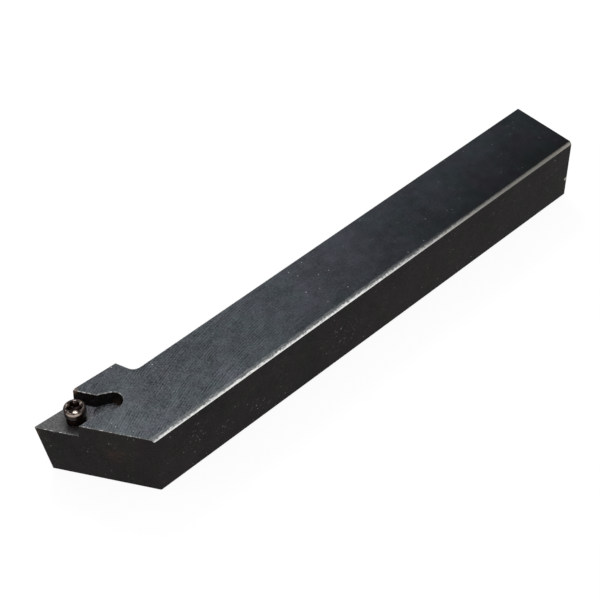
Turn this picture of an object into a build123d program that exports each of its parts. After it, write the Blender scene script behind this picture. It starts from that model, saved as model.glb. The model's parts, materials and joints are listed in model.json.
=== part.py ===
from build123d import *
import os
from math import cos, hypot, radians, sin, tan

# Left-hand external turning tool holder for a lathe, with a pocket for a 55 degree
# insert and the screw that clamps it. Millimetres. The base lies on z = 0. The origin
# is half way along the tool, under the middle of the shank. The shank runs along X
# with its plain end at +X, and the head's nose reaches out past the +Y side.

os.makedirs("parts", exist_ok=True)

# --- The insert that the pocket takes -------------------------------------------
insert_circle = 6.35          # inscribed circle of the upper face
insert_thickness = 2.38
insert_corner = 55.0          # corner angle, degrees
insert_corner_radius = 0.4
insert_flank = 7.0            # lean of the insert's flanks, degrees

# --- Shank ----------------------------------------------------------------------
shank_height = 12.0
shank_width = 12.0
tool_length = 100.0           # plain end to the cutting corner
tool_reach = 16.0             # plain side of the shank to the cutting corner
grip_edge_chamfer = 0.45      # long top edge of the plain side
stock_edge_chamfer = 0.2      # the bar's other edges

# --- Head -----------------------------------------------------------------------
entering_angle = 93.0         # main cutting edge to the feed, degrees
insert_below_top = 0.2        # upper face and cutting edge, below the holder's top face
side_setback = 0.2            # steel stays this far inside the insert's lower main edge
front_setback = 0.11          # and this far inside its lower minor edge, at the nose
front_turned_back = 0.7       # front face off the line of the minor edge, degrees
side_relief = 6.4             # lean of the face under the main edge, degrees
front_relief = 0.8            # lean of the face under the minor edge, degrees
head_length = 15.4            # cutting corner to the shoulder's point, along the shank
shoulder_slant = 20.0         # shoulder's rear face off square to the shank, degrees
shoulder_fillet = 1.5
horn_bevel = 0.6              # cut off the thin horn by the pocket, along the side face
horn_bevel_turn = 25.0        # that bevel off the side face, degrees
nose_fillet = 0.12            # upright edge under the insert's cutting corner
edge_break = 0.1              # the head's sharp edges

# --- Relief slot in the pocket's inner corner -----------------------------------
slot_width = 3.1
slot_run = 1.5                # between the centres of its two round ends
slot_short_of_corner = 0.45   # far centre, short of the walls' meeting point
slot_aside = 0.2              # off the corner's bisector, towards the nose side
slot_drop = 0.4               # floor of the slot below the pocket's floor

# --- Clamp screw and its tapped hole --------------------------------------------
screw_thread = 2.5
screw_length = 6.0            # over all
head_diameter = 3.3
head_band = 1.05              # straight part of the head, with its rounded rim
head_rim_radius = 0.32
head_cone_angle = 60.0        # included angle under the head, degrees
head_stand_up = 0.25          # top of the head above the holder's top, with no insert
screw_pull = 0.3              # hole's place, in from the insert's centre
thread_clearance = 0.05       # radial, between the screw and its hole
hole_mouth_chamfer = 0.2
screw_tip_chamfer = 0.3

# --- Star socket in the screw's head --------------------------------------------
socket_points = 6
socket_over_points = 2.4
socket_between_points = 1.75
socket_lobe_radius = 0.19
socket_depth = 1.1
socket_mouth_diameter = 2.6   # cone that leads into the socket
socket_mouth_angle = 120.0    # its included angle, degrees
socket_turn = 18.0            # degrees, as the screw stands in its hole

cut_margin = 1.0              # how far a cutter runs past the steel it cuts

# --- Directions that follow from the sizes --------------------------------------
half_corner = insert_corner / 2
lead = entering_angle - 90            # main edge off the shank's length
minor_lead = lead + insert_corner     # minor edge off the shank's length
front_lead = minor_lead - front_turned_back
inward_turn = lead + half_corner      # from the nose to the pocket's inner corner
side_normal = Vector(sin(radians(lead)), cos(radians(lead)))
front_normal = Vector(-sin(radians(front_lead)), -cos(radians(front_lead)))
shoulder_normal = Vector(cos(radians(shoulder_slant)), sin(radians(shoulder_slant)))
rear_wall_normal = Vector(sin(radians(minor_lead)), cos(radians(minor_lead)))
inward = Vector(cos(radians(inward_turn)), -sin(radians(inward_turn)))
along_side = Vector(cos(radians(lead)), -sin(radians(lead)))

# --- Places that follow from the sizes ------------------------------------------
plain_end = tool_length / 2
corner_x = plain_end - tool_length
plain_side = -shank_width / 2
nose_side = shank_width / 2
pocket_depth = insert_thickness + insert_below_top
seat_z = shank_height - pocket_depth
shoulder_x = corner_x + head_length
corner_centre = Vector(
    corner_x + insert_corner_radius, plain_side + tool_reach - insert_corner_radius
)
insert_centre = corner_centre + inward * (
    (insert_circle / 2 - insert_corner_radius) / sin(radians(half_corner))
)
screw_centre = insert_centre + inward * screw_pull
seat_half_width = insert_circle / 2 - insert_thickness * tan(radians(insert_flank))
seat_half_length = seat_half_width / sin(radians(half_corner))
lower_corner = insert_centre - inward * seat_half_length
bore_radius = screw_thread / 2 + thread_clearance


def upright_plane(point, normal):
    return Plane(origin=(point.X, point.Y, 0), z_dir=normal)


def leaning_plane(point, normal, lean):
    """Plane through a point at the height of the pocket's floor, leaning out as it rises."""
    outward = normal * cos(radians(lean)) - Vector(0, 0, sin(radians(lean)))
    return Plane(origin=(point.X, point.Y, seat_z), z_dir=outward)


def crossing(normal_a, reach_a, normal_b, reach_b):
    """Where two lines cross in plan, each given by its normal and its reach along it."""
    spread = normal_a.X * normal_b.Y - normal_a.Y * normal_b.X
    x = (reach_a * normal_b.Y - reach_b * normal_a.Y) / spread
    y = (reach_b * normal_a.X - reach_a * normal_b.X) / spread
    return Vector(x, y)


side_face = leaning_plane(lower_corner - side_normal * side_setback, side_normal, side_relief)
front_face = leaning_plane(
    lower_corner - front_normal * front_setback, front_normal, front_relief
)
inner_wall = leaning_plane(
    insert_centre - side_normal * seat_half_width, -side_normal, insert_flank
)
rear_wall = leaning_plane(
    insert_centre + rear_wall_normal * seat_half_width, rear_wall_normal, insert_flank
)
side_reach = side_face.origin.dot(side_normal) + pocket_depth * tan(radians(side_relief))
rear_wall_reach = insert_centre.dot(rear_wall_normal) + (
    insert_circle / 2 + insert_below_top * tan(radians(insert_flank))
)
shoulder_point = crossing(side_normal, side_reach, Vector(1, 0), shoulder_x)
horn_point = crossing(side_normal, side_reach, rear_wall_normal, rear_wall_reach)
rear_face = upright_plane(shoulder_point, shoulder_normal)
horn_face = upright_plane(
    horn_point + along_side * horn_bevel, side_normal.rotate(Axis.Z, horn_bevel_turn)
)
seat_plane = Plane(
    origin=(insert_centre.X, insert_centre.Y, seat_z), x_dir=inward, z_dir=(0, 0, 1)
)


def box_between(low, high):
    size = [b - a for a, b in zip(low, high)]
    middle = [(a + b) / 2 for a, b in zip(low, high)]
    return Location(middle) * Box(*size)


def milled(body, *faces):
    """The body with what stands outside each plane cut away."""
    for face in faces:
        body = split(body, bisect_by=face, keep=Keep.BOTTOM)
    return body


def edges_at(body, *points):
    """The edge nearest to each of the given points."""
    return ShapeList([body.edges().sort_by_distance(point)[0] for point in points])


def steel_blank():
    """Square bar and head in one piece, with the inner corner of the shoulder filleted."""
    tip = corner_x - cut_margin
    past_shoulder = shoulder_x + tool_reach
    past_side = nose_side + tool_reach
    bar = box_between((tip, plain_side, 0), (plain_end, nose_side, shank_height))
    head = box_between((tip, 0, 0), (past_shoulder, past_side, shank_height))
    blank = milled(bar, front_face) + milled(head, front_face, side_face, rear_face)
    rear_reach = shoulder_point.dot(shoulder_normal)
    foot = crossing(shoulder_normal, rear_reach, Vector(0, 1), nose_side)
    return fillet(edges_at(blank, (foot.X, foot.Y, shank_height / 2)), shoulder_fillet)


def with_broken_bar_edges(steel):
    along = plain_end / 2
    grip_edge = (along, plain_side, shank_height)
    other_edges = [(along, nose_side, shank_height), (along, nose_side, 0), (along, plain_side, 0)]
    steel = chamfer(edges_at(steel, grip_edge), grip_edge_chamfer)
    plain_end_edges = steel.faces().sort_by(Axis.X)[-1].edges()
    return chamfer(edges_at(steel, *other_edges) + plain_end_edges, stock_edge_chamfer)


def above_pocket_floor():
    low = (corner_x - cut_margin, plain_side - cut_margin, seat_z)
    high = (shoulder_x, plain_side + tool_reach + cut_margin, shank_height + cut_margin)
    return box_between(low, high)


def pocket():
    """Room for the insert: two inner walls that lean out with its flanks, open elsewhere."""
    return milled(above_pocket_floor(), inner_wall, rear_wall)


def relief_slot():
    middle = Pos(seat_half_length - slot_short_of_corner - slot_run / 2, slot_aside, -slot_drop)
    outline = seat_plane * middle * SlotCenterToCenter(slot_run, slot_width)
    return extrude(outline, slot_drop + pocket_depth + cut_margin)


def tapped_hole():
    """Hole right through the head, with a small countersink at each mouth."""
    mouth_radius = bore_radius + hole_mouth_chamfer
    hole = Pos(0, 0, seat_z / 2) * Cylinder(bore_radius, seat_z)
    hole += Pos(0, 0, seat_z - hole_mouth_chamfer / 2) * Cone(
        bore_radius, mouth_radius, hole_mouth_chamfer
    )
    hole += Pos(0, 0, hole_mouth_chamfer / 2) * Cone(
        mouth_radius, bore_radius, hole_mouth_chamfer
    )
    return Pos(screw_centre.X, screw_centre.Y, 0) * hole


def horn_tip():
    """What is milled off the thin horn beside the pocket, above the pocket's floor."""
    return split(above_pocket_floor(), bisect_by=horn_face, keep=Keep.TOP)


def with_broken_head_edges(steel):
    nose = (lower_corner.X, lower_corner.Y, seat_z / 2)
    steel = fillet(edges_at(steel, nose), nose_fillet)
    top = steel.faces().sort_by(Axis.Z)[-1].edges()
    in_front = top.filter_by(lambda edge: edge.center().X < shoulder_x - shoulder_fillet)
    return chamfer(in_front, edge_break)


def make_holder():
    steel = with_broken_bar_edges(steel_blank())
    steel = steel - pocket() - relief_slot() - horn_tip() - tapped_hole()
    return with_broken_head_edges(steel)


def star_outline():
    """Six round lobes, joined by round flanks that bulge in towards the middle."""
    half_step = 180 / socket_points
    lobe_place = socket_over_points / 2 - socket_lobe_radius
    waist = socket_between_points / 2
    reach = lobe_place * cos(radians(half_step))
    flank_radius = (
        socket_lobe_radius**2 - lobe_place**2 - waist**2 + 2 * waist * reach
    ) / (2 * (waist - reach - socket_lobe_radius))
    flank_place = waist + flank_radius
    # The point where a lobe runs into a flank lies on the line between their centres.
    share = socket_lobe_radius / (socket_lobe_radius + flank_radius)
    along = lobe_place + share * (flank_place * cos(radians(half_step)) - lobe_place)
    across = share * flank_place * sin(radians(half_step))
    lobes = PolarLocations(lobe_place, socket_points)
    flanks = PolarLocations(flank_place, socket_points, start_angle=half_step)
    core = Circle(hypot(along, across)) - flanks * Circle(flank_radius)
    return core + lobes * Circle(socket_lobe_radius)


def star_socket():
    """Straight star socket with a conical mouth that runs out on the waists of the star."""
    mouth_radius = socket_mouth_diameter / 2
    waist = socket_between_points / 2
    mouth_depth = (mouth_radius - waist) / tan(radians(socket_mouth_angle / 2))
    mouth = Pos(0, 0, -mouth_depth / 2) * Cone(waist, mouth_radius, mouth_depth)
    return extrude(star_outline(), -socket_depth) + mouth


def make_clamp_screw():
    """Countersunk screw, standing in its hole with the top of its head a little proud."""
    head_radius = head_diameter / 2
    thread_radius = screw_thread / 2
    cone_height = (head_radius - thread_radius) / tan(radians(head_cone_angle / 2))
    section = Plane.XZ * Polygon(
        (0, 0),
        (head_radius, 0),
        (head_radius, -head_band),
        (thread_radius, -head_band - cone_height),
        (thread_radius, screw_tip_chamfer - screw_length),
        (thread_radius - screw_tip_chamfer, -screw_length),
        (0, -screw_length),
        align=None,
    )
    turned = revolve(section, Axis.Z)
    turned = fillet(edges_at(turned, (head_radius, 0, 0)), head_rim_radius)
    screw = turned - Rot(0, 0, socket_turn) * star_socket()
    return Pos(screw_centre.X, screw_centre.Y, shank_height + head_stand_up) * screw


pieces = {"holder": make_holder(), "clamp_screw": make_clamp_screw()}
for name, piece in pieces.items():
    export_step(piece, f"parts/{name}.step")
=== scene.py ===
# %% [markdown]
# # A turning tool holder and its clamp screw
# The tool is one bar of blackened steel with an empty insert pocket in its head, and a
# small dark screw standing in that pocket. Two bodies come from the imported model: the
# holder and the clamp screw. This file dresses them. It could repaint the imported
# solids only, but the screw lacks its thread, and the holder's loose triangles would show
# on its rounded slot, so each gets a stand-in, made in the same frame and in metres.

import json
from math import cos, radians, sin, tan

import bmesh
import bpy
import numpy as np
from mathutils import Euler, Matrix, Vector


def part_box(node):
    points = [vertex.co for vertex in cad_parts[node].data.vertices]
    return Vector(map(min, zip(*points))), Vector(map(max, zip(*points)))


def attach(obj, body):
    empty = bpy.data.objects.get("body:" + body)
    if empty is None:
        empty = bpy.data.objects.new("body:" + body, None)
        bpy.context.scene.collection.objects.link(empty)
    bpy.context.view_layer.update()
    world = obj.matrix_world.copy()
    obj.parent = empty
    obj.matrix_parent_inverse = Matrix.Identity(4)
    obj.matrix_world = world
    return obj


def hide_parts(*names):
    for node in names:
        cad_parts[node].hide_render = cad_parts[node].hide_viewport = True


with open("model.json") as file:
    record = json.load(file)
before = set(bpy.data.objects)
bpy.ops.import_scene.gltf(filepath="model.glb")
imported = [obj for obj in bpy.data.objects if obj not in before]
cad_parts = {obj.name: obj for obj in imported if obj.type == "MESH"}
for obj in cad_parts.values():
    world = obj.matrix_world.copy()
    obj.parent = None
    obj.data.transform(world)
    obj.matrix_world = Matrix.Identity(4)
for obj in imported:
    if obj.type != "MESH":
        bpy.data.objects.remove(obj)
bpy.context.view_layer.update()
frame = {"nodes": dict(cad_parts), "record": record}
nodes = frame["nodes"]

# %% [markdown]
# ## Places
# Every pattern on the steel follows an edge or a face of the tool, so their places come
# first. The boxes of the two nodes give the sides and the screw, and the mount on the
# pocket's floor gives its height. The one angle is that of the head's front face, which
# lies nearly along the insert's minor cutting edge. Numbers could be typed in where they
# are used, but then a changed tool would leave its wear behind.

# %% Places in the tool's frame
mm = 0.001
holder_low, holder_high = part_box("holder")
screw_low, screw_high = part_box("clamp_screw")
mounts = {mount["name"]: mount for mount in frame["record"]["mounts"]}

top_z = holder_high.z
plain_side = holder_low.y
seat = Vector(mounts["insert_seat"]["pos_m"])
screw_x = (screw_low.x + screw_high.x) / 2
screw_y = (screw_low.y + screw_high.y) / 2
screw_top = screw_high.z
screw_length = screw_high.z - screw_low.z
head_radius = (screw_high.x - screw_low.x) / 2
pocket_depth = top_z - seat.z
front_lead = 57.3              # degrees from the shank's length to the head's front face
print("pocket", round(pocket_depth / mm, 2), "mm deep")
print("screw", round(screw_length / mm, 2), "mm long")

# %% [markdown]
# ## Grids
# A turned or threaded piece is a surface of two parameters: how far along the profile,
# and how far round the axis. Numpy works out all the points at once, and one helper
# sews them into a closed mesh. Blender's own cylinders and screw modifier could do some
# of it, but a formula keeps the thread, the socket and the head in one watertight skin.

# %% A closed mesh from a grid of points
def mesh_from_rings(name, rings, close_rows=False):
    """Sews rings of points into a mesh. rings has the shape (rows, points round, 3).

    Each ring joins the next with one quad for each point, and the last point of a ring
    joins its first. With close_rows the last ring joins the first, as round a torus.
    Otherwise a fan to the middle of its ring closes the first and the last row.
    """
    rows, around = rings.shape[:2]
    index = np.arange(rows * around).reshape(rows, around)
    following = np.roll(index, -1, axis=0) if close_rows else index[1:]
    here = index if close_rows else index[:-1]
    quads = np.stack(
        [here, np.roll(here, -1, axis=1), np.roll(following, -1, axis=1), following], axis=-1
    ).reshape(-1, 4)
    points = rings.reshape(-1, 3)
    faces = quads.tolist()
    if not close_rows:
        middles = rings[[0, -1]].mean(axis=1)
        first = np.full(around, rows * around)
        points = np.vstack([points, middles])
        faces += np.stack([first, np.roll(index[0], -1), index[0]], axis=-1).tolist()
        faces += np.stack([first + 1, index[-1], np.roll(index[-1], -1)], axis=-1).tolist()
    mesh = bpy.data.meshes.new(name)
    mesh.from_pydata(points.tolist(), [], faces)
    mesh.validate()
    piece = bpy.data.objects.new(name, mesh)
    bpy.context.scene.collection.objects.link(piece)
    print(name, len(mesh.vertices), "points", len(mesh.polygons), "faces")
    return piece


def smooth_by_angle(piece, limit):
    """Shades a piece smooth, with a crease wherever two faces meet at more than the limit."""
    worker = bmesh.new()
    worker.from_mesh(piece.data)
    for edge in worker.edges:
        edge.smooth = len(edge.link_faces) == 2 and edge.calc_face_angle(0.0) < radians(limit)
    for face in worker.faces:
        face.smooth = True
    worker.to_mesh(piece.data)
    worker.free()


# %% [markdown]
# ## Shader arithmetic
# A worn finish is a sum of masks: near this edge, not on that face, more where the noise
# is high. Written as nodes by hand, each sum is a tangle. Here a socket is wrapped in a
# small class, so that a mask is written as an expression, and each operator adds its own
# Math node. Colours are kept apart, because a Math node would turn them grey.

# %% A socket that can be reckoned with
class Wire:
    """What comes out of a socket. Arithmetic on it adds Math nodes, so it is for numbers."""

    def __init__(self, nodes, socket):
        self.nodes = nodes
        self.socket = socket

    def _math(self, operation, *values):
        settings = {"operation": operation}
        return self.nodes.node("ShaderNodeMath", settings, dict(enumerate(values)))

    def __add__(self, other):
        return self._math("ADD", self, other)

    def __sub__(self, other):
        return self._math("SUBTRACT", self, other)

    def __rsub__(self, other):
        return self._math("SUBTRACT", other, self)

    def __mul__(self, other):
        return self._math("MULTIPLY", self, other)

    def __gt__(self, other):
        return self._math("GREATER_THAN", self, other)

    def __lt__(self, other):
        return self._math("LESS_THAN", self, other)

    __radd__ = __add__
    __rmul__ = __mul__

    def least(self, other):
        """The smaller of the two."""
        return self._math("MINIMUM", self, other)

    def most(self, other):
        """The larger of the two."""
        return self._math("MAXIMUM", self, other)

    def sine(self):
        return self._math("SINE", self)

    def turn_of(self, across):
        """Angle, in radians, of the direction whose parts are (across, self)."""
        return self._math("ARCTAN2", self, across)

    def between(self, low, high):
        """0 below low, 1 above high, and smooth in between. low may be above high."""
        settings = {"interpolation_type": "SMOOTHSTEP", "clamp": True}
        sockets = {"Value": self, "From Min": low, "From Max": high}
        return self.nodes.node("ShaderNodeMapRange", settings, sockets)


# %% [markdown]
# ## Adding nodes
# Materials and the world are both trees of nodes. Nodes could be placed and linked one by
# one, but then the same three lines come back a hundred times. One method adds a node
# here. It sets the node's own settings first, because they can change which sockets the
# node has, and then gives each socket its value or its link.

# %% A tree of nodes
class Nodes:
    """A node tree, emptied, and the ways to add to it."""

    def __init__(self, tree):
        self.tree = tree
        self.tree.nodes.clear()

    def node(self, kind, settings=None, sockets=None, output=0):
        """Adds a node: its settings first, then values or links for its sockets."""
        made = self.tree.nodes.new(kind)
        for key, value in (settings or {}).items():
            setattr(made, key, value)
        for key, value in (sockets or {}).items():
            self.feed(made.inputs[key], value)
        return Wire(self, made.outputs[output]) if made.outputs else made

    def feed(self, target, value):
        """Links a wire to a socket, or sets the socket to a value."""
        if isinstance(value, Wire):
            self.tree.links.new(value.socket, target)
        else:
            target.default_value = value

    def seen(self):
        """1 for rays from the camera, a mirror or glass, and 0 for those that carry light."""
        eye, mirror, glass = (
            self.node("ShaderNodeLightPath", output=f"Is {ray} Ray")
            for ray in ("Camera", "Glossy", "Transmission")
        )
        return eye.most(mirror).most(glass)


# %% [markdown]
# ## A finish
# Each material is one Principled shader and whatever feeds it. A finish starts with that
# shader and with the place of the point that is being shaded, in millimetres, because
# every pattern below asks where it is. Its other methods are the few nodes that are not
# arithmetic: noises, scattered points, mixed colours and relief.

# %% A material under construction
class Finish(Nodes):
    """One material: a tree with a Principled shader, and the nodes that feed it."""

    def __init__(self, name):
        self.material = bpy.data.materials.new(name)
        self.material.use_nodes = True
        super().__init__(self.material.node_tree)
        self.surface = self.node("ShaderNodeBsdfPrincipled")
        self.output = self.node("ShaderNodeOutputMaterial", None, {"Surface": self.surface})
        metres = self.node("ShaderNodeTexCoord", output="Object")
        self.facing = self.node("ShaderNodeTexCoord", output="Normal")
        self.place = self.vector("SCALE", {0: metres, "Scale": 1 / mm})
        self.x, self.y, self.z = self.parts(self.place)

    def vector(self, operation, sockets, output="Vector"):
        return self.node("ShaderNodeVectorMath", {"operation": operation}, sockets, output)

    def parts(self, vector):
        split = self.node("ShaderNodeSeparateXYZ", None, {0: vector}).socket.node
        return [Wire(self, split.outputs[axis]) for axis in "XYZ"]

    def joined(self, x, y, z=0.0):
        return self.node("ShaderNodeCombineXYZ", None, {"X": x, "Y": y, "Z": z})

    def noise(self, vector, scale, detail=2.0, roughness=0.5):
        """Soft noise. scale is in cells for each millimetre."""
        sockets = {"Vector": vector, "Scale": scale, "Detail": detail, "Roughness": roughness}
        return self.node("ShaderNodeTexNoise", {"noise_dimensions": "3D"}, sockets, "Fac")

    def cells(self, vector, scale):
        """Distance to the nearest of many scattered points, in spacings of the points."""
        settings = {"voronoi_dimensions": "3D", "feature": "F1"}
        sockets = {"Vector": vector, "Scale": scale}
        return self.node("ShaderNodeTexVoronoi", settings, sockets, "Distance")

    def mixed(self, share, first, second, how="MIX"):
        """Colour first, with as much of colour second as share says."""
        settings = {"data_type": "RGBA", "blend_type": how}
        return self.node("ShaderNodeMix", settings, {0: share, 6: first, 7: second}, 2)

    def bump(self, height, distance):
        """Normal of a surface raised by height times distance, in metres."""
        return self.node("ShaderNodeBump", None, {"Height": height, "Distance": distance})

    def set(self, **values):
        """Feeds the shader: base_color becomes the socket Base Color, and so on."""
        sockets = self.surface.socket.node.inputs
        names = {socket.name.lower().replace(" ", "_"): socket for socket in sockets}
        for key, value in values.items():
            self.feed(names[key], value)


def linear(red, green, blue):
    """A colour as shaders take it, from the 0 to 255 values that a screen shows."""
    screen = np.array([red, green, blue]) / 255
    values = np.where(screen <= 0.04045, screen / 12.92, ((screen + 0.055) / 1.055) ** 2.4)
    return (*[float(value) for value in values], 1.0)


print("middle grey", [round(value, 3) for value in linear(128, 128, 128)])

# %% [markdown]
# ## The holder's body
# The real bar is milled all over, so its faces are flat, its slot ends are round, and
# every edge of the head is broken by a tenth of a millimetre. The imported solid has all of
# this. Its mesh is loose triangles, though, and a rounded slot end would show them. A
# merged copy with creases only at real edges keeps each form and shades it as one face.

# %% Holder body
holder_copy = bmesh.new()
holder_copy.from_mesh(nodes["holder"].data)
bmesh.ops.remove_doubles(holder_copy, verts=holder_copy.verts, dist=1e-7)
holder_mesh = bpy.data.meshes.new("holder_body")
holder_copy.to_mesh(holder_mesh)
holder_copy.free()
holder_body = bpy.data.objects.new("holder_body", holder_mesh)
bpy.context.scene.collection.objects.link(holder_body)
smooth_by_angle(holder_body, 14.0)
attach(holder_body, "holder")
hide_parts("holder")
print("holder body", len(holder_mesh.polygons), "faces")

# %% [markdown]
# ## The clamp screw
# The screw is a turned pin: a star socket with a conical mouth, a rounded head, a cone
# that draws the insert into its corner, a plain neck and an M2.5 thread. Head, cone and
# tip only need a profile and a full turn. The socket's reach changes with the angle, and
# the thread's with the angle and the height together. So each ring of the grid takes its
# radius and its height from a formula, and the whole screw is one closed skin.

# %% Sizes of the clamp screw, in millimetres
head_r = head_radius / mm
head_band = 1.05               # height of the head above its cone
rim_round = 0.32               # radius of the head's rounded rim
cone_half_angle = 30.0         # degrees from the axis
thread_r = 1.25
pitch = 0.45
root_r = thread_r - 0.6134 * pitch    # a metric thread's depth, as a part of its pitch
tip_chamfer = 0.3              # how much smaller the tip's radius is
lobes = 6
over_lobes = 2.4               # across two lobes that face each other
between_lobes = 1.75           # across two waists that face each other
lobe_radius = 0.19
socket_depth = 1.1             # from the head's top to the edge of the dished bottom
socket_turn = 18.0             # degrees from X to the first lobe
mouth_r = 1.3                  # radius of the cone round the socket's mouth
mouth_slope = tan(radians(30))
length = screw_length / mm
angles = np.linspace(0, 2 * np.pi, 144, endpoint=False)
print("thread", thread_r, "mm to its crest and", round(root_r, 3), "mm to its root")

# %% [markdown]
# ### The star and the thread
# A star socket is drawn with circles: small ones for the lobes, and larger ones that bulge
# in between them. The outline could be a curve, extruded and cut out with a Boolean
# modifier. Here one formula says how far out the star lies at any angle, and another how
# far up its flanks the thread is at any angle and height, and the rings below ask them.


# %% Socket outline and thread
def star_reach(angle):
    """Reach of the star socket's wall, in millimetres, in a direction from its middle.

    Six small circles stand on a ring, one in each lobe. Between two of them a larger
    circle bulges in, touching both. The reach is where a ray from the middle leaves the
    lobe's circle, or, past the point where the two touch, where it meets the larger one.
    """
    half = np.pi / lobes
    ring = over_lobes / 2 - lobe_radius
    waist = between_lobes / 2
    # The larger circle's radius is the one at which its middle, on the waist's ray, lies
    # as far from a lobe's middle as the two radii together.
    bulge = (waist**2 + ring**2 - 2 * waist * ring * np.cos(half) - lobe_radius**2) / (
        2 * (lobe_radius - waist + ring * np.cos(half))
    )
    share = lobe_radius / (lobe_radius + bulge)
    along = ring + share * ((waist + bulge) * np.cos(half) - ring)
    across = share * (waist + bulge) * np.sin(half)
    off = np.abs((angle - radians(socket_turn) + half) % (2 * half) - half)
    in_lobe = ring * np.cos(off) + np.sqrt(
        np.maximum(lobe_radius**2 - (ring * np.sin(off)) ** 2, 0)
    )
    from_waist = half - off
    on_bulge = (waist + bulge) * np.cos(from_waist) - np.sqrt(
        np.maximum(bulge**2 - ((waist + bulge) * np.sin(from_waist)) ** 2, 0)
    )
    return np.where(off < np.arctan2(across, along), in_lobe, on_bulge)


def thread_share(angle, height, root_part, crest_part):
    """How far up its flanks a right-hand thread is, from 0 at the root to 1 at the crest.

    One turn climbs one pitch, so height / pitch - angle / full turn says where in the
    pitch a point is. The share falls from the crest in a straight flank to the root.
    root_part and crest_part are how wide root and crest are, as parts of the pitch.
    """
    place = (height / pitch - angle / (2 * np.pi)) % 1.0
    off_root = np.abs(place - 0.5) * 2
    return np.clip((off_root - root_part) / (1 - crest_part - root_part), 0, 1)


first_waist = np.array([radians(socket_turn) + np.pi / lobes])
print("waist of the star", star_reach(first_waist).round(3), "mm from the axis")

# %% [markdown]
# ### The socket and the turned profile
# The rings start at the middle of the socket's dished bottom, climb its star-shaped wall
# and widen over the conical mouth to a plain circle. From there the profile is that of a
# lathe: round the rim, down the head, in along the cone and down the plain neck. Each
# ring is a pair: how far out it lies, and how high, at each angle.

# %% Socket and profile of the clamp screw
def quarter(middle_r, middle_h, radius, start, end, count):
    """Points (reach, height) on an arc about a middle, between two angles in degrees."""
    turn = np.radians(np.linspace(start, end, count))
    return [(middle_r + radius * np.cos(t), middle_h + radius * np.sin(t)) for t in turn]


broken_r = 0.03                # radius of the broken edge between head and cone
cone_drop = (head_r - thread_r) / tan(radians(cone_half_angle))
neck_end = -3.25               # height where the thread runs out, from the head's top
wall = star_reach(angles)
mouth = -(mouth_r - wall) * mouth_slope
flat = np.ones_like(angles)

# The dished bottom: round near the middle, and a star from the fourth ring on.
socket_rings = [
    (0.10 * flat, (-socket_depth - 0.15) * flat),
    (0.35 * flat, (-socket_depth - 0.13) * flat),
    (0.60 * flat, (-socket_depth - 0.09) * flat),
    (0.82 * wall, (-socket_depth - 0.04) * flat),
    (0.96 * wall, (-socket_depth) * flat),
    (wall, (-socket_depth + 0.04) * flat),
]
# The wall, up to where it meets the mouth's cone.
socket_rings += [
    (wall, share * mouth + (1 - share) * (0.04 - socket_depth)) for share in (0.35, 0.7, 0.97)
]
# The cone, which turns from the star's outline into a circle.
socket_rings += [
    (wall + share * (mouth_r - wall), (1 - share) * mouth)
    for share in (0.02, 0.2, 0.5, 0.8, 0.98)
]
profile = [(mouth_r + 0.012, 0.0)]
profile += quarter(head_r - rim_round, -rim_round, rim_round, 86, 0, 12)
profile += [(head_r, -0.6), (head_r, 0.01 - head_band)]
profile += quarter(head_r - broken_r, -head_band, broken_r, 0, -cone_half_angle, 3)
profile += [(thread_r + 0.02, 0.03 - head_band - cone_drop)]
profile += [(thread_r, -head_band - cone_drop - 0.02), (thread_r, neck_end + pitch)]
profile_rings = [(reach * flat, height * flat) for reach, height in profile]
print(len(socket_rings), "rings in the socket,", len(profile_rings), "from rim to neck")

# %% [markdown]
# ### The thread and the whole screw
# The thread goes on with the same kind of rings, close together, whose reach dips into
# the groove. It runs out below the neck, because a die can't cut up to a shoulder, and the
# tip is turned to a short chamfer so that it finds its hole. The rings are listed from
# the socket's bottom over the rim and down to the tip. Taken the other way round, they
# turn the faces outwards.

# %% Clamp screw
thread_rows = np.linspace(neck_end + pitch, -length, 141)[1:]
thread_heights = thread_rows[:, None] * flat
# The groove deepens over the thread's first turn, and the tip's chamfer cuts the crests.
run_out = np.clip((neck_end + pitch / 2 - thread_heights) / pitch + 0.5, 0, 1)
groove = 1 - thread_share(angles, thread_heights, root_part=0.25, crest_part=0.125)
threaded = thread_r - run_out * (thread_r - root_r) * groove
tip = thread_r - tip_chamfer + (thread_heights + length)
threaded = np.minimum(threaded, tip)

reaches = np.vstack([[ring[0] for ring in socket_rings + profile_rings], threaded])
heights = np.vstack([[ring[1] for ring in socket_rings + profile_rings], thread_heights])
rings = np.stack(
    [
        screw_x + mm * reaches * np.cos(angles),
        screw_y + mm * reaches * np.sin(angles),
        screw_top + mm * heights,
    ],
    axis=-1,
)
clamp_screw_body = mesh_from_rings("clamp_screw_body", rings[::-1])
smooth_by_angle(clamp_screw_body, 38.0)
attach(clamp_screw_body, "clamp_screw")
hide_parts("clamp_screw")

# %% [markdown]
# ## The thread in the hole
# The hole under the screw is tapped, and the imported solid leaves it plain. The thread is
# a liner: a ridge that winds down the wall, with its back buried in the steel. It has the
# screw's own phase, so that each ridge lies in a groove with air on both sides, and the
# top of the hole is bored clear, because the screw's plain neck has to go down into it.

# %% Hole thread
ridge_r = 1.06
valley_r = 1.285
buried_r = 1.34                # the liner's back, inside the steel
hole_top = 7.75 * mm           # the plain neck stays above this at its lowest
hole_low = 0.28 * mm
hole_rows = np.linspace(hole_top, hole_low, 250)[:, None]
hole_angles = np.linspace(0, 2 * np.pi, 72, endpoint=False)
hole_heights = hole_rows * np.ones_like(hole_angles)
below_head = (hole_heights - screw_top) / mm
ridge = 1 - thread_share(hole_angles, below_head, root_part=0.2, crest_part=0.25)
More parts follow.
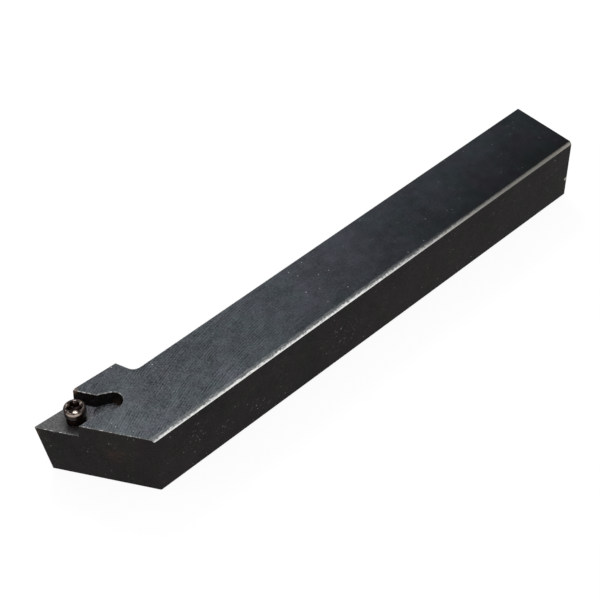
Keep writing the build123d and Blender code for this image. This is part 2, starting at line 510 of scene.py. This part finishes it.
# The ridge rises over a little more than half a turn at each end of the hole.
run_in = np.clip(
    np.minimum(hole_top - hole_heights, hole_heights - hole_low) / (0.6 * pitch * mm), 0, 1
)
hole_reach = valley_r - (valley_r - ridge_r) * ridge * run_in
back_rows = np.linspace(hole_low, hole_top, 6)[:, None] * np.ones_like(hole_angles)
hole_reach = np.vstack([hole_reach, np.full(back_rows.shape, buried_r)])
hole_z = np.vstack([hole_heights, back_rows])
hole_rings = np.stack(
    [
        screw_x + mm * hole_reach * np.cos(hole_angles),
        screw_y + mm * hole_reach * np.sin(hole_angles),
        hole_z,
    ],
    axis=-1,
)
hole_thread = mesh_from_rings("hole_thread", hole_rings, close_rows=True)
smooth_by_angle(hole_thread, 50.0)
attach(hole_thread, "holder")

# %% [markdown]
# ## Closed skins
# A solid piece has a skin without holes, and its faces point out. That can be looked at
# face by face, with the viewport's face orientation. A number is surer: each edge of a
# closed skin has two faces, and the signed volume is positive only if they point out.

# %% Check of the skins
def volume(piece):
    """Signed volume of a closed mesh, in cubic millimetres, and how many edges are open."""
    worker = bmesh.new()
    worker.from_mesh(piece.data)
    open_edges = sum(len(edge.link_faces) != 2 for edge in worker.edges)
    measured = worker.calc_volume(signed=True) / mm**3
    worker.free()
    return round(measured, 2), open_edges


for piece in (holder_body, clamp_screw_body, hole_thread):
    print(piece.name, "volume and open edges", volume(piece))

# %% [markdown]
# ## Blackened steel
# The bar is black oxide on milled steel: a thin dark skin, faintly oily, so it is matt
# and nearly black from the side and blue-grey where it mirrors the lamp. The skin is
# worn through on the edges and dotted with bright nicks. The masks below say where a
# point is (top, pocket floor, chamfer, broken edge), and each kind of wear is one more
# mask. A dark paint with a gloss could look alike in one view, but bare steel under a
# skin gives edges that flash as the tool is turned.

# %% Where a point is on the holder
steel = Finish("blackened_steel")
x, y, z = steel.x, steel.y, steel.z
up_facing = steel.parts(steel.facing)[2]

level = up_facing.between(0.90, 0.97)
on_top = level * (z > top_z / mm - 0.3)
on_floor = level - on_top
broken = up_facing.between(0.30, 0.45) * (1 - level)
grip_face = broken * (y < plain_side / mm + 0.55)    # the wide chamfer
broken_edge = broken - grip_face
head_to_tail = x.between(-43.0, 50.0)


def near(place, reach, softness=0.6):
    """1 at a place on the tool and 0 past reach, in millimetres.

    softness is the share of the reach over which it falls from 1 to 0.
    """
    away = steel.vector("DISTANCE", {0: steel.place, 1: place}, "Value")
    return away.between(reach, reach * (1 - softness))


in_pocket = near((-41.0, 5.0, 9.2), 3.4, 0.4)
pocket_floor = on_floor.most(in_pocket * (z < seat.z / mm + 0.01))
print("nodes for the places", len(steel.tree.nodes))

# %% [markdown]
# ### The head's front face
# The pocket's floor ends at the front face in a long thin edge, which is worn. How far a
# point lies behind that face is a sum of its x and y. Where the face itself lies could be
# typed in. It is measured instead, as the furthest corner of the solid at the floor's
# height, so that the wear stays on the edge.

# %% Distance behind the front face
points = np.empty(3 * len(nodes["holder"].data.vertices), np.float32)
nodes["holder"].data.vertices.foreach_get("co", points)
points = points.reshape(-1, 3) / mm
front_turn = radians(90 - front_lead)
front_out = -np.array([cos(front_turn), sin(front_turn)])
at_floor = np.abs(points[:, 2] - seat.z / mm) < 0.05
front_reach = float((points[at_floor, :2] @ front_out).max())
behind_front = front_reach - (x * float(front_out[0]) + y * float(front_out[1]))
print("front face", round(front_reach, 3), "mm out at the pocket's floor")

# %% [markdown]
# ### Milling arcs
# A face mill leaves arcs, all about the line that its middle moved on, one for each step
# of the feed. Here the feed was slow and the cutter wide, so the arcs are nearly straight
# and 0.38 mm apart. A sine of the distance from the cutter's middle gives them, and a
# stretched noise makes some deeper than others. They fade towards the plain end.

# %% Arcs of the face mill
cutter_x, cutter_y = -5.0, -68.0
feed = 0.38
arc_radius = 71.0              # turns an angle into a length along the arc
from_cutter = steel.joined(x - cutter_x, y - cutter_y)
arc_reach = steel.vector("LENGTH", {0: from_cutter}, "Value")
arc_run = (x - cutter_x).turn_of(y - cutter_y) * arc_radius
uneven = steel.noise(steel.joined(arc_reach * 2.4, arc_run * 0.22), 1.0, 2.0, 0.5)
lines = (arc_reach * (2 * np.pi / feed) + uneven * 4.0).sine()
arc_patches = steel.noise(steel.joined(arc_reach * 0.35, arc_run * 0.12), 1.0, 1.0)
arc_depth = arc_patches.between(0.25, 0.65) * x.between(16.0, -18.0) * on_top
arcs = arc_depth * (lines * 0.6 + (uneven - 0.5) * 2.0)
print("arcs", feed, "mm apart, nodes", len(steel.tree.nodes))

# %% [markdown]
# ### Mottling and grain
# Black oxide comes out of its bath a little cloudy, bluish in one place and violet in the
# next, over a grain left by the rough steel. Three noises of different sizes do it: wide
# clouds, smaller mottles and a grain of a third of a millimetre. A fourth, read from
# another place in the noise, leans the hue. The grain is strong at the head and nearly
# gone on the rear of the top face.

# %% Clouds, mottles and grain
clouds = steel.noise(steel.place, 0.13, 2.0, 0.5)
mottles = steel.noise(steel.place, 0.6, 3.0, 0.6)
grain = steel.noise(steel.place, 3.4, 2.0, 0.65)
elsewhere = steel.vector("ADD", {0: steel.place, 1: (30.0, 7.0, 3.0)})
hue = steel.noise(elsewhere, 0.24, 3.0, 0.6)
grain_share = on_top * (1.2 - head_to_tail * 0.95) + (1 - on_top) * 1.7
print("nodes with the clouds", len(steel.tree.nodes))

# %% [markdown]
# ### Nicks and scratches
# Loose in a drawer with other tools, the bar has picked up bright nicks and short
# scratches, in clusters on its long side. The nicks are the nearest of many scattered
# points, kept only where that point lies close under the face. A scratch is a noise
# stretched along one direction and cut off high, so only its longest ridges are left.

# %% Nicks, specks and scratches
nick_chance = steel.noise(steel.place, 0.3, 1.0)
nicks = steel.cells(steel.place, 0.8).between(0.085, 0.045) * nick_chance.between(0.48, 0.58)
grit_chance = steel.noise(steel.place, 0.8, 2.0)
grit = steel.cells(steel.place, 3.2).between(0.16, 0.06) * grit_chance.between(0.5, 0.66)
falling_way = steel.joined((x - z) * 0.8, (x + z) * 4.2, y * 2.0)
rising_way = steel.joined((x + z * 0.7) * 0.8, (z - x * 0.7) * 4.6, y * 2.0)
falling = steel.noise(falling_way, 1.0, 1.0, 0.4)
rising = steel.noise(rising_way, 1.0, 1.0, 0.4)
strokes = falling.most(rising).between(0.69, 0.76)


def spots(places):
    """Sum of near() over rows of place, reach in millimetres, and strength."""
    return sum(near(place, reach) * strength for place, reach, strength in places)


clusters = spots([
    ((-32.0, -6.0, 7.0), 2.6, 1.0),
    ((-27.0, -6.0, 4.0), 2.0, 0.7),
    ((-20.0, -6.0, 3.0), 2.5, 0.7),
    ((-2.5, -6.0, 6.0), 4.5, 0.6),
    ((-44.5, 1.0, 7.0), 5.0, 0.12),
]).least(1.0)
strays = nick_chance.between(0.50, 0.62) * 0.22
scratches = strokes * (clusters + strays).least(1.0) * (1 - on_top * 0.7)
nick_share = 0.38 + on_top * (0.37 - head_to_tail * 0.6)
grit_share = 0.2 + on_top * (0.08 - head_to_tail * 0.2)
marks = (nicks * nick_share + grit * grit_share + scratches * 0.42).least(1.0)
print("nodes with the scratches", len(steel.tree.nodes))

# %% [markdown]
# ### Worn edges
# The long edge on the plain side is a wide chamfer that rubs in the tool post, and most
# of its black is gone: bright at the outer corner, ragged towards the top face, and
# painted dimmer towards the plain end, a painted shade where it mirrors less of the lamp.
# The narrow broken edges of the head have lost only crumbs of it, and so has the front
# edge of the pocket's floor. Round the screw a painted shadow darkens the pocket's floor
# and hides the wear there, and the plain end's upright edge has one chip. The slope of a
# face says that it is an edge, so only the chip and the painted shadow have their places
# given.

# %% Wear on the edges
ragged = steel.noise(steel.place, 2.6, 3.0, 0.7)
brushed = steel.noise(steel.joined(x * 0.9, y * 9.0, z * 9.0), 1.0, 2.0, 0.6)
grip_width = 0.45
across_grip = (y - plain_side / mm) * (1 / grip_width)
to_tail = x.between(4.0, 44.0)
unevenness = (ragged + brushed - 1.0) * (1.3 - to_tail * 0.8)
grip_bare = (across_grip + unevenness - to_tail * 0.30).between(0.84, 0.06)
rubbed_reach = (across_grip + (brushed - 0.5) * 3.0).between(1.7, 1.0)
rubbed_top = on_top * rubbed_reach * x.between(30.0, 0.0)
# Painted shade along the chamfer: its bare steel is painted dimmer towards the plain end,
# where it mirrors less of the lamp, and a little brighter again at the very end.
grip_painted_fade = 1.0 - x.between(-4.0, 36.0) * 0.72 + x.between(45.5, 49.5) * 0.10
grip_wear_and_painted_fade = (grip_face * (0.16 + 0.84 * grip_bare) * grip_painted_fade).most(rubbed_top * 0.12)
crumbled = 0.16 + ragged.between(0.46, 0.66) * 0.50
edge_wear = broken_edge * crumbled * (1.0 - head_to_tail * 0.6)
crumbs = pocket_floor * behind_front.between(0.22, 0.04) * ragged.between(0.48, 0.62) * 0.35
# Painted shadow of the screw's head on the pocket's floor, a little towards -x and -y. It also
# keeps the hole's mouth from looking worn.
painted_screw_shadow = near((screw_x / mm - 0.3, screw_y / mm - 0.2, seat.z / mm), 2.7, 0.5)
tail_chip = near((49.5, -6.0, 3.9), 0.42, 0.5) * 0.42
wear_and_painted_shade = grip_wear_and_painted_fade.most(edge_wear * (1 - painted_screw_shadow)).most(crumbs).most(tail_chip)
print("nodes with the wear", len(steel.tree.nodes))

# %% [markdown]
# ### Stains
# Two corners of the head are browned by old coolant, a little rust has started on the
# front face, and one stretch of the top face has a violet cast. The slot's round end gets
# a brown patch of painted light, where that curved wall turns towards the light. A painted
# map would place them to the hair. A soft ball round a place, broken up by a noise, is
# enough, and it needs no picture.

# %% Browned corners, painted light on the slot's end, rust and a violet patch
level_strokes = steel.noise(steel.joined(x * 0.8, y * 0.8, z * 3.0), 1.4, 3.0, 0.6)
coolant_and_painted_light = spots([
    ((-49.8, 9.7, 8.6), 1.5, 0.35),
    ((-42.2, 9.3, 11.9), 0.9, 0.8),
    # painted light on the slot's round end, not a stain
    ((-38.2, 4.6, 9.6), 0.9, 0.25),
]) * ragged.between(0.35, 0.6)
rust = near((-43.0, -0.8, 6.5), 2.6, 0.9) * level_strokes.between(0.45, 0.62) * 0.42
violet_patch = near((4.0, 2.5, 12.0), 13.0, 0.9)
print("nodes with the stains", len(steel.tree.nodes))

# %% [markdown]
# ### Colour
# The colour starts as the oxide's own, is shaded by arcs, clouds and grain, is stained,
# and then loses its place to bare steel where it is worn. Light and shade are painted in
# too: a painted sheen makes the top face lighter at the head than at the tail and across
# its width, painted light brightens the pocket's inner floor and the slot's round end, a
# painted shadow darkens the floor round the screw, and the chamfer's bare steel is
# painted dimmer towards the plain end. Each step mixes a colour in by one of the masks. A
# colour ramp on a single noise would be shorter, but then the wear could not follow the
# edges.

# %% Colour of the blackened steel
# The top's two blues carry a painted sheen: lighter at the head, darker towards the tail.
head_blue_painted_sheen = linear(37, 48, 54)
tail_blue_painted_shade = linear(25, 28, 31)
side_brown = linear(27, 25, 23)
floor_grey = linear(82, 82, 82)
# A light blue-grey, for painted light on the pocket's inner floor.
painted_pocket_light = linear(128, 132, 138)
teal_tint = (0.92, 1.035, 1.03, 1.0)
violet_tint = (1.15, 0.94, 1.09, 1.0)
# A dark brown for the painted shadow round the screw.
screw_shadow_brown = linear(26, 22, 21)
coolant_and_painted_light_brown = linear(120, 92, 66)
rust_brown = linear(76, 47, 36)
bare_steel = linear(238, 238, 236)
stained_steel = linear(232, 226, 215)
nick_white = linear(205, 204, 200)

# Painted sheen: the top face is painted lighter at the head, where it mirrors the lamp, and
# darker towards the tail.
top_colour_painted_sheen = steel.mixed(head_to_tail, head_blue_painted_sheen, tail_blue_painted_shade)
oxide = steel.mixed(on_top.most(grip_face), side_brown, top_colour_painted_sheen)
oxide = steel.mixed(pocket_floor, oxide, floor_grey)
# Painted light: the pocket's inner floor, which the rear wall shades from the key lamp, is
# painted lighter and bluer.
oxide = steel.mixed(in_pocket * pocket_floor * 0.75, oxide, painted_pocket_light)
teal_share = (hue - violet_patch * 0.22).between(0.36, 0.64)
tint = steel.mixed(teal_share, violet_tint, teal_tint)
oxide = steel.mixed(1.0 - pocket_floor * 0.8, oxide, tint, "MULTIPLY")
# Painted sheen across the top face: near the tail the far side is painted lighter than the
# near side, and near the head a little the other way.
painted_sheen_across_top = 1 + on_top * y * (head_to_tail * 0.11 - 0.02)
cloudy = (clouds - 0.5) * 1.1 + (mottles - 0.5) * 0.95 + (grain - 0.5) * 2.0 * grain_share
# The tone mixes real arcs, clouds and grain with the painted sheen across the top.
tone_and_painted_sheen = painted_sheen_across_top * (1 + arcs * 0.50 + violet_patch * 0.12 + cloudy)
oxide = steel.mixed(1.0, oxide, steel.joined(tone_and_painted_sheen, tone_and_painted_sheen, tone_and_painted_sheen), "MULTIPLY")
# Painted shadow round the screw.
oxide = steel.mixed(painted_screw_shadow * 0.9, oxide, screw_shadow_brown)
# Coolant stains, and the painted light on the slot's round end.
oxide = steel.mixed(coolant_and_painted_light.least(1.0), oxide, coolant_and_painted_light_brown)
oxide = steel.mixed(rust, oxide, rust_brown)
colour = steel.mixed(marks, oxide, nick_white)
colour = steel.mixed(wear_and_painted_shade, colour, steel.mixed(to_tail, bare_steel, stained_steel))
print("nodes with the colour", len(steel.tree.nodes))

# %% [markdown]
# ### Gloss and relief
# Only bare steel is metallic: the oxide is a mineral, and reflects like one. The oiled
# top face gets a thin coat, which mirrors the lamp behind the tool and, with the painted
# sheen in the colour, makes the head lighter than the tail. Arcs, grain and marks are a
# few thousandths of a millimetre deep, far too fine for the mesh, so a bump bends the
# light instead.

# %% Blackened steel, put together
relief = arcs * 0.5 + (grain - 0.5) * 0.9 + marks * 0.8
oiled = on_top * (0.40 - head_to_tail * 0.37) * tone_and_painted_sheen + on_floor * 0.25
steel.set(
    base_color=colour,
    metallic=(wear_and_painted_shade * 1.1 + marks * 0.2).least(1.0),
    roughness=0.50 + (grain - 0.5) * 0.25 - wear_and_painted_shade * 0.12,
    specular_ior_level=0.04,
    coat_weight=oiled.least(1.0),
    coat_roughness=0.40,
    normal=steel.bump(relief, 0.004 * mm),
)
for piece in (holder_body, hole_thread):
    piece.data.materials.append(steel.material)
print("blackened steel", len(steel.tree.nodes), "nodes")

# %% [markdown]
# ## The screw's own steel
# The clamp screw is hardened and tempered, which leaves it brown-black and smooth enough
# to mirror the lamps as small sharp lights. It could be one glossy brown, but a used
# screw is bright where it rubs: at the marks of the key round the socket's mouth, and at
# a worn spot in the middle of the socket's bottom, which is also a painted highlight. A
# painted highlight of bright steel lies on the rim, on the faces that turn towards -x, -y
# and up.

# %% Brown tempered steel
brown = Finish("brown_tempered_steel")
from_axis = brown.joined(brown.x - screw_x / mm, brown.y - screw_y / mm)
screw_reach = brown.vector("LENGTH", {0: from_axis}, "Value")
under_top = screw_top / mm - brown.z
brown_grain = brown.noise(brown.place, 6.0, 3.0, 0.6)
brown_patches = brown.noise(brown.place, 1.8, 2.0, 0.5)
key_marks = (
    screw_reach.between(mouth_r + 0.04, mouth_r - 0.02) * under_top.between(0.30, 0.16)
    * (brown_patches + (brown_grain - 0.5) * 0.5).between(0.53, 0.60)
)
# Painted highlight on the rim: bright steel on the faces that turn towards this direction.
highlight_side = (-0.50, -0.55, 0.67)
toward_highlight_side = brown.vector("DOT_PRODUCT", {0: brown.facing, 1: highlight_side}, "Value")
painted_rim_highlight = (
    toward_highlight_side.between(0.78, 0.94) * screw_reach.between(mouth_r + 0.06, mouth_r + 0.12)
    * (0.55 + 0.45 * brown_patches.between(0.35, 0.55))
)
# A worn spot in the middle of the socket's bottom, bright steel that is also a painted
# highlight.
at_bottom = under_top.between(socket_depth - 0.08, socket_depth)
worn_and_painted_socket_spot = at_bottom * screw_reach.between(0.50, 0.20)
bare_and_painted_highlights = key_marks.most(painted_rim_highlight * 0.9).most(worn_and_painted_socket_spot)

dark_temper = linear(21, 13, 11)
light_temper = linear(41, 26, 21)
# Bright steel for the key marks and the painted highlights.
rubbed_and_highlight_steel = linear(190, 174, 163)
screw_colour = brown.mixed(brown_patches.between(0.3, 0.7), dark_temper, light_temper)
screw_colour = brown.mixed(bare_and_painted_highlights * 0.75, screw_colour, rubbed_and_highlight_steel)
brown.set(
    base_color=screw_colour,
    metallic=(0.30 + bare_and_painted_highlights * 0.7).least(1.0),
    roughness=0.26 + (brown_grain - 0.5) * 0.2,
    specular_ior_level=0.10,
    coat_weight=0.12,
    coat_roughness=0.10,
    normal=brown.bump(brown_grain, 0.003 * mm),
)
clamp_screw_body.data.materials.append(brown.material)
print("brown steel", len(brown.tree.nodes), "nodes")

# %% [markdown]
# ## Floor
# The tool lies on a plain white sheet. The floor is a wide disc of rings, so it has no
# edge in any view, and it lies a hair under the tool, so the two don't flicker. A share
# of its white is the same from everywhere, and the rest is real light, so the tool still
# casts a shadow.

# %% White floor
around = 96
floor_reaches = np.array([0.002, 0.05, 0.2, 1.0, 6.0, 30.0])[:, None]
floor_turns = np.linspace(0, 2 * np.pi, around, endpoint=False)
floor_across = floor_reaches * np.cos(floor_turns)
floor_along = floor_reaches * np.sin(floor_turns)
floor_height = np.full(floor_across.shape, -0.02 * mm)
floor_points = np.stack([floor_across, floor_along, floor_height], axis=-1).reshape(-1, 3)
index = np.arange(len(floor_points)).reshape(-1, around)
inner, outer = index[:-1], index[1:]
floor_quads = np.stack(
    [inner, outer, np.roll(outer, -1, axis=1), np.roll(inner, -1, axis=1)], axis=-1
).reshape(-1, 4)
floor_faces = floor_quads.tolist() + [index[0].tolist()]
floor_mesh = bpy.data.meshes.new("floor")
floor_mesh.from_pydata(floor_points.tolist(), [], floor_faces)
floor = bpy.data.objects.new("floor", floor_mesh)
bpy.context.scene.collection.objects.link(floor)

full_white = (1.0, 1.0, 1.0, 1.0)
paper_white = (0.86, 0.86, 0.86, 1.0)
glow_strength = 1.06
glow_share = 0.85
white = Finish("white_sheet")
white.set(base_color=paper_white, roughness=0.9, specular_ior_level=0.0)
glow = white.node("ShaderNodeEmission", None, {"Color": full_white, "Strength": glow_strength})
glowing = white.seen() * glow_share
sheet = white.node("ShaderNodeMixShader", None, {0: glowing, 1: white.surface, 2: glow})
white.feed(white.output.inputs["Surface"], sheet)
floor_mesh.materials.append(white.material)
print("floor", len(floor_faces), "faces")

# %% [markdown]
# ## World and lamps
# A studio for small goods is a white tent: soft light from all round, and one or two
# lamps for form. The world is the tent. What the camera and the reflections see of it is
# plain white, and the light that it sheds is a little weaker, so white things don't clip.
# The lamps are round and stand behind and above the tool. A sun lamp would be simpler,
# but its mirror image on the screw would be a dot, and that of a disc has a size.

# %% World
world = bpy.data.worlds.new("studio")
world.use_nodes = True
bpy.context.scene.world = world
tent_light = 0.68
tent = Nodes(world.node_tree)
shed = tent.node("ShaderNodeBackground", None, {"Color": full_white, "Strength": tent_light})
shown = tent.node("ShaderNodeBackground", None, {"Color": full_white, "Strength": 1.0})
both = tent.node("ShaderNodeMixShader", None, {0: tent.seen(), 1: shed, 2: shown})
tent.node("ShaderNodeOutputWorld", None, {"Surface": both})
print("world", len(tent.tree.nodes), "nodes")


# %% Lamps
aimed_at = Vector((-0.03, 0.0, 0.006))


def lamp(name, towards, distance, size, brightness):
    """A round lamp that looks at the tool. brightness is its face's own, where 1 is white.

    A flat lamp gives off its brightness times its area times pi, and the area of a disc
    is pi times the square of its size, over 4.
    """
    light = bpy.data.lights.new(name, "AREA")
    light.shape = "DISK"
    light.size = size
    light.energy = brightness * np.pi**2 * size**2 / 4
    shining = bpy.data.objects.new(name, light)
    towards = Vector(towards).normalized()
    shining.location = aimed_at + towards * distance
    shining.rotation_euler = towards.to_track_quat("Z", "Y").to_euler()
    bpy.context.scene.collection.objects.link(shining)
    print(name, round(light.energy, 3), "W")


lamp("key", towards=(68, 123, 172), distance=0.45, size=0.13, brightness=12.0)
lamp("overhead", towards=(-0.08, -0.10, 1.0), distance=0.6, size=0.14, brightness=8.0)

# %% [markdown]
# ## Camera
# The camera looks down on the head, over the plain side, with a long lens, as one does
# for small goods so that they don't bulge. It could be aimed with a Track To constraint.
# Three angles are plainer: how far down it looks, which way it is turned, and a small roll.

# %% Camera
camera_place = (-0.11088, -0.11763, 0.18386)
looks_down = 47.66             # degrees under the horizon
turned = -41.665               # degrees round the vertical, from looking along Y
rolled = -1.683                # degrees round its own line of sight
camera_data = bpy.data.cameras.new("camera")
camera_data.sensor_width = 36.0
camera_data.lens = 92.29
camera_data.clip_start = 0.01
camera = bpy.data.objects.new("camera", camera_data)
camera.location = camera_place
aim = Euler((radians(90 - looks_down), 0.0, radians(turned))).to_matrix()
camera.rotation_euler = (aim @ Matrix.Rotation(radians(rolled), 3, "Z")).to_euler()
bpy.context.scene.collection.objects.link(camera)
bpy.context.scene.camera = camera
bpy.context.scene.view_settings.view_transform = "Standard"
print("camera", round(Vector(camera_place).length, 3), "m from the origin")
